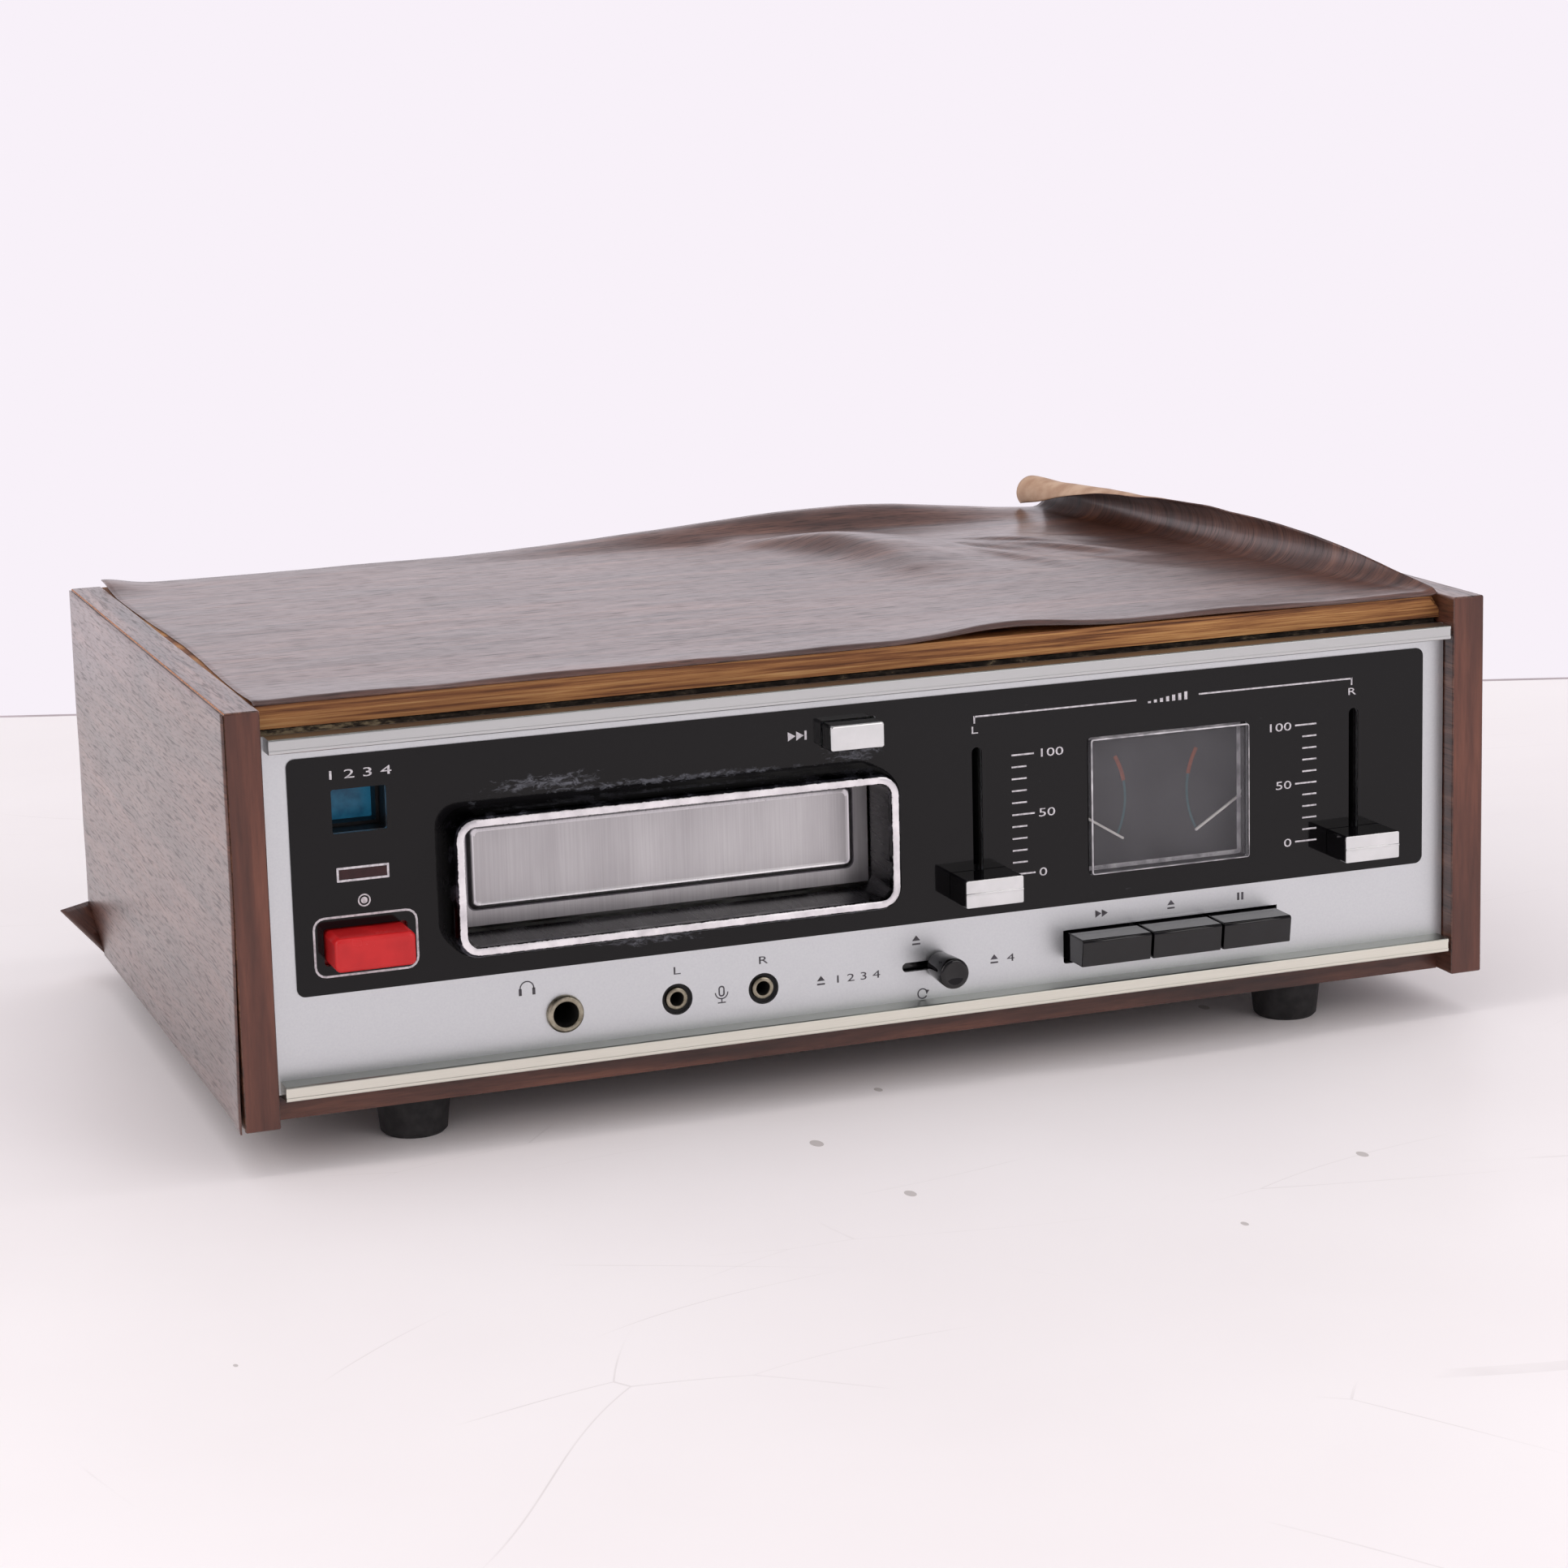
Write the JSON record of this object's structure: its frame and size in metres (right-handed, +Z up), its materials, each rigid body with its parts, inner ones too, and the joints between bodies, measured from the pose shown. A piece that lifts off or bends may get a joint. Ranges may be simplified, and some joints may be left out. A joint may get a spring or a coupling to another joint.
{
  "type": "eight-track player",
  "caption": "Table-top stereo 8-track player and recorder: walnut-vinyl cabinet with peeling film, aluminium and gloss black front, cartridge slot, twin meters, slide volumes and keys",
  "frame": {"origin": "centre of the whole box at the surface the feet stand on", "axes": "+Z up, -Y towards the front panel, +X to the right when facing the front"},
  "size_m": [0.3598, 0.2182, 0.1306],
  "materials": {
    "walnut_film": "printed walnut-pattern vinyl on particle board",
    "plywood": "bare edge of the top board, orange-tan",
    "dark_sheet": "dark painted sheet",
    "vinyl_skin": "loose printed walnut-pattern vinyl, greyish sheen",
    "foot_rubber": "black rubber",
    "zinc_steel": "zinc-plated steel",
    "satin_aluminium": "satin brushed aluminium",
    "gloss_black": "gloss black",
    "champagne_bar": "champagne anodised aluminium",
    "bright_steel": "bright steel",
    "matte_black": "matt black moulding",
    "blue_lens": "blue lamp lens",
    "lamp_glass": "small lamps on a board",
    "dark_red_lens": "dark red lamp lens",
    "red_button": "gloss red",
    "chrome_face": "chromed cap",
    "switch_body": "switch bodies on steel straps",
    "scale_grey": "grey dial card",
    "clear_window": "clear acrylic",
    "needle_white": "white painted",
    "nickel": "dull nickel plate",
    "cast_alloy": "turned alloy",
    "bearing_brass": "brass",
    "cream_nylon": "cream nylon",
    "board_green": "circuit board with parts"
  },
  "bodies": {
    "cabinet": {"side_panel_left": "walnut_film", "side_panel_right": "walnut_film", "top_board": "plywood", "bottom_board": "walnut_film", "back_panel": "dark_sheet", "side_skin_left": "vinyl_skin", "top_skin": "vinyl_skin", "rubber_feet": "foot_rubber", "cabinet_screws": "zinc_steel", "chassis": "zinc_steel", "front_subpanel": "zinc_steel", "deck_plate": "zinc_steel", "fascia": "satin_aluminium", "black_overlay": "gloss_black", "trim_bars": "champagne_bar", "cartridge_bezel": "gloss_black", "door_pin": "bright_steel", "door_spring": "bright_steel", "cartridge_guide": "zinc_steel", "program_window": "matte_black", "program_lens": "blue_lens", "pilot_lamps": "lamp_glass", "record_lens": "dark_red_lens", "push_switches": "switch_body", "slide_pots": "zinc_steel", "meter_case": "matte_black", "meter_scale": "scale_grey", "meter_window": "clear_window", "monitor_jack": "nickel", "mic_jacks": "nickel", "key_frame": "zinc_steel", "return_springs": "bright_steel", "capstan_bearing": "bearing_brass", "motor": "zinc_steel", "drive_belt": "foot_rubber", "solenoid": "bearing_brass", "transformer": "dark_sheet", "amp_board": "board_green", "phono_sockets": "nickel", "cord_grommet": "foot_rubber"},
    "door": {"cartridge_door": "satin_aluminium"},
    "record_key": {"record_button": "red_button"},
    "selector_key": {"selector_button": "chrome_face"},
    "left_volume": {"volume_knob_left": "gloss_black", "volume_lever_left": "bright_steel"},
    "right_volume": {"volume_knob_right": "gloss_black", "volume_lever_right": "bright_steel"},
    "left_needle": {"needle_left": "needle_white"},
    "right_needle": {"needle_right": "needle_white"},
    "eject_lever": {"auto_eject_lever": "gloss_black"},
    "forward_key": {"fast_forward_key": "gloss_black"},
    "release_key": {"eject_key": "gloss_black"},
    "hold_key": {"pause_key": "gloss_black"},
    "drive": {"flywheel": "cast_alloy", "capstan": "bright_steel"},
    "rotor": {"motor_pulley": "bearing_brass"},
    "head": {"head_carriage": "bearing_brass", "tape_head": "bright_steel"},
    "cam": {"track_cam": "cream_nylon"},
    "plunger": {"solenoid_plunger": "bright_steel"}
  },
  "joints": [
    {"name": "door_swing", "type": "hinge", "parent": "cabinet", "child": "door", "pos_m": [-0.05489, -0.0891, 0.08585], "axis": [1, 0, 0], "range_deg": [0, 80], "stiffness_Nm_per_rad": 0.02, "springref_deg": -20.05},
    {"name": "record_press", "type": "slide", "parent": "cabinet", "child": "record_key", "axis": [0, 1, 0], "range_m": [0, 0.005], "stiffness_N_per_m": 250, "springref_m": -0.003, "deforming": ["return_springs"]},
    {"name": "selector_press", "type": "slide", "parent": "cabinet", "child": "selector_key", "axis": [0, 1, 0], "range_m": [0, 0.004], "stiffness_N_per_m": 250, "springref_m": -0.003, "deforming": ["return_springs"]},
    {"name": "left_volume_slide", "type": "slide", "parent": "cabinet", "child": "left_volume", "axis": [0, 0, 1], "range_m": [0, 0.0323]},
    {"name": "right_volume_slide", "type": "slide", "parent": "cabinet", "child": "right_volume", "axis": [0, 0, 1], "range_m": [0, 0.0323]},
    {"name": "left_needle_swing", "type": "hinge", "parent": "cabinet", "child": "left_needle", "pos_m": [0.06161, -0.09175, 0.0673], "axis": [0, -1, 0], "range_deg": [0, 90], "stiffness_Nm_per_rad": 0.0001, "springref_deg": -17.19},
    {"name": "right_needle_swing", "type": "hinge", "parent": "cabinet", "child": "right_needle", "pos_m": [0.11121, -0.09175, 0.0673], "axis": [0, 1, 0], "range_deg": [0, 90], "stiffness_Nm_per_rad": 0.0001, "springref_deg": -17.19},
    {"name": "auto_eject_slide", "type": "slide", "parent": "cabinet", "child": "eject_lever", "axis": [1, 0, 0], "range_m": [-0.0072, 0]},
    {"name": "fast_forward_press", "type": "slide", "parent": "cabinet", "child": "forward_key", "axis": [0, 1, 0], "range_m": [0, 0.005], "stiffness_N_per_m": 250, "springref_m": -0.003, "deforming": ["return_springs"]},
    {"name": "eject_press", "type": "slide", "parent": "cabinet", "child": "release_key", "axis": [0, 1, 0], "range_m": [0, 0.005], "stiffness_N_per_m": 250, "springref_m": -0.003, "deforming": ["return_springs"]},
    {"name": "pause_press", "type": "slide", "parent": "cabinet", "child": "hold_key", "axis": [0, 1, 0], "range_m": [0, 0.005], "stiffness_N_per_m": 250, "springref_m": -0.003, "deforming": ["return_springs"]},
    {"name": "flywheel_spin", "type": "hinge", "parent": "cabinet", "child": "drive", "pos_m": [-0.02089, 0.00365, 0.04085], "axis": [0, 0, 1], "continuous": true},
    {"name": "motor_spin", "type": "hinge", "parent": "cabinet", "child": "rotor", "pos_m": [-0.09089, 0.04965, 0.04085], "axis": [0, 0, 1], "continuous": true},
    {"name": "cam_turn", "type": "hinge", "parent": "cabinet", "child": "cam", "pos_m": [-0.05689, 0.02665, 0.05315], "axis": [0, 0, -1], "range_deg": [0, 270]},
    {"name": "head_lift", "type": "slide", "parent": "cabinet", "child": "head", "axis": [0, 0, 1], "range_m": [0, 0.0024]},
    {"name": "plunger_pull", "type": "slide", "parent": "cabinet", "child": "plunger", "axis": [1, 0, 0], "range_m": [0, 0.003], "stiffness_N_per_m": 100, "springref_m": -0.002}
  ],
  "couplings": [
    {"joint": "motor_spin", "follows": "flywheel_spin", "ratio": 6.4},
    {"joint": "cam_turn", "follows": "head_lift", "rad_per_m": 1963.5}
  ]
}
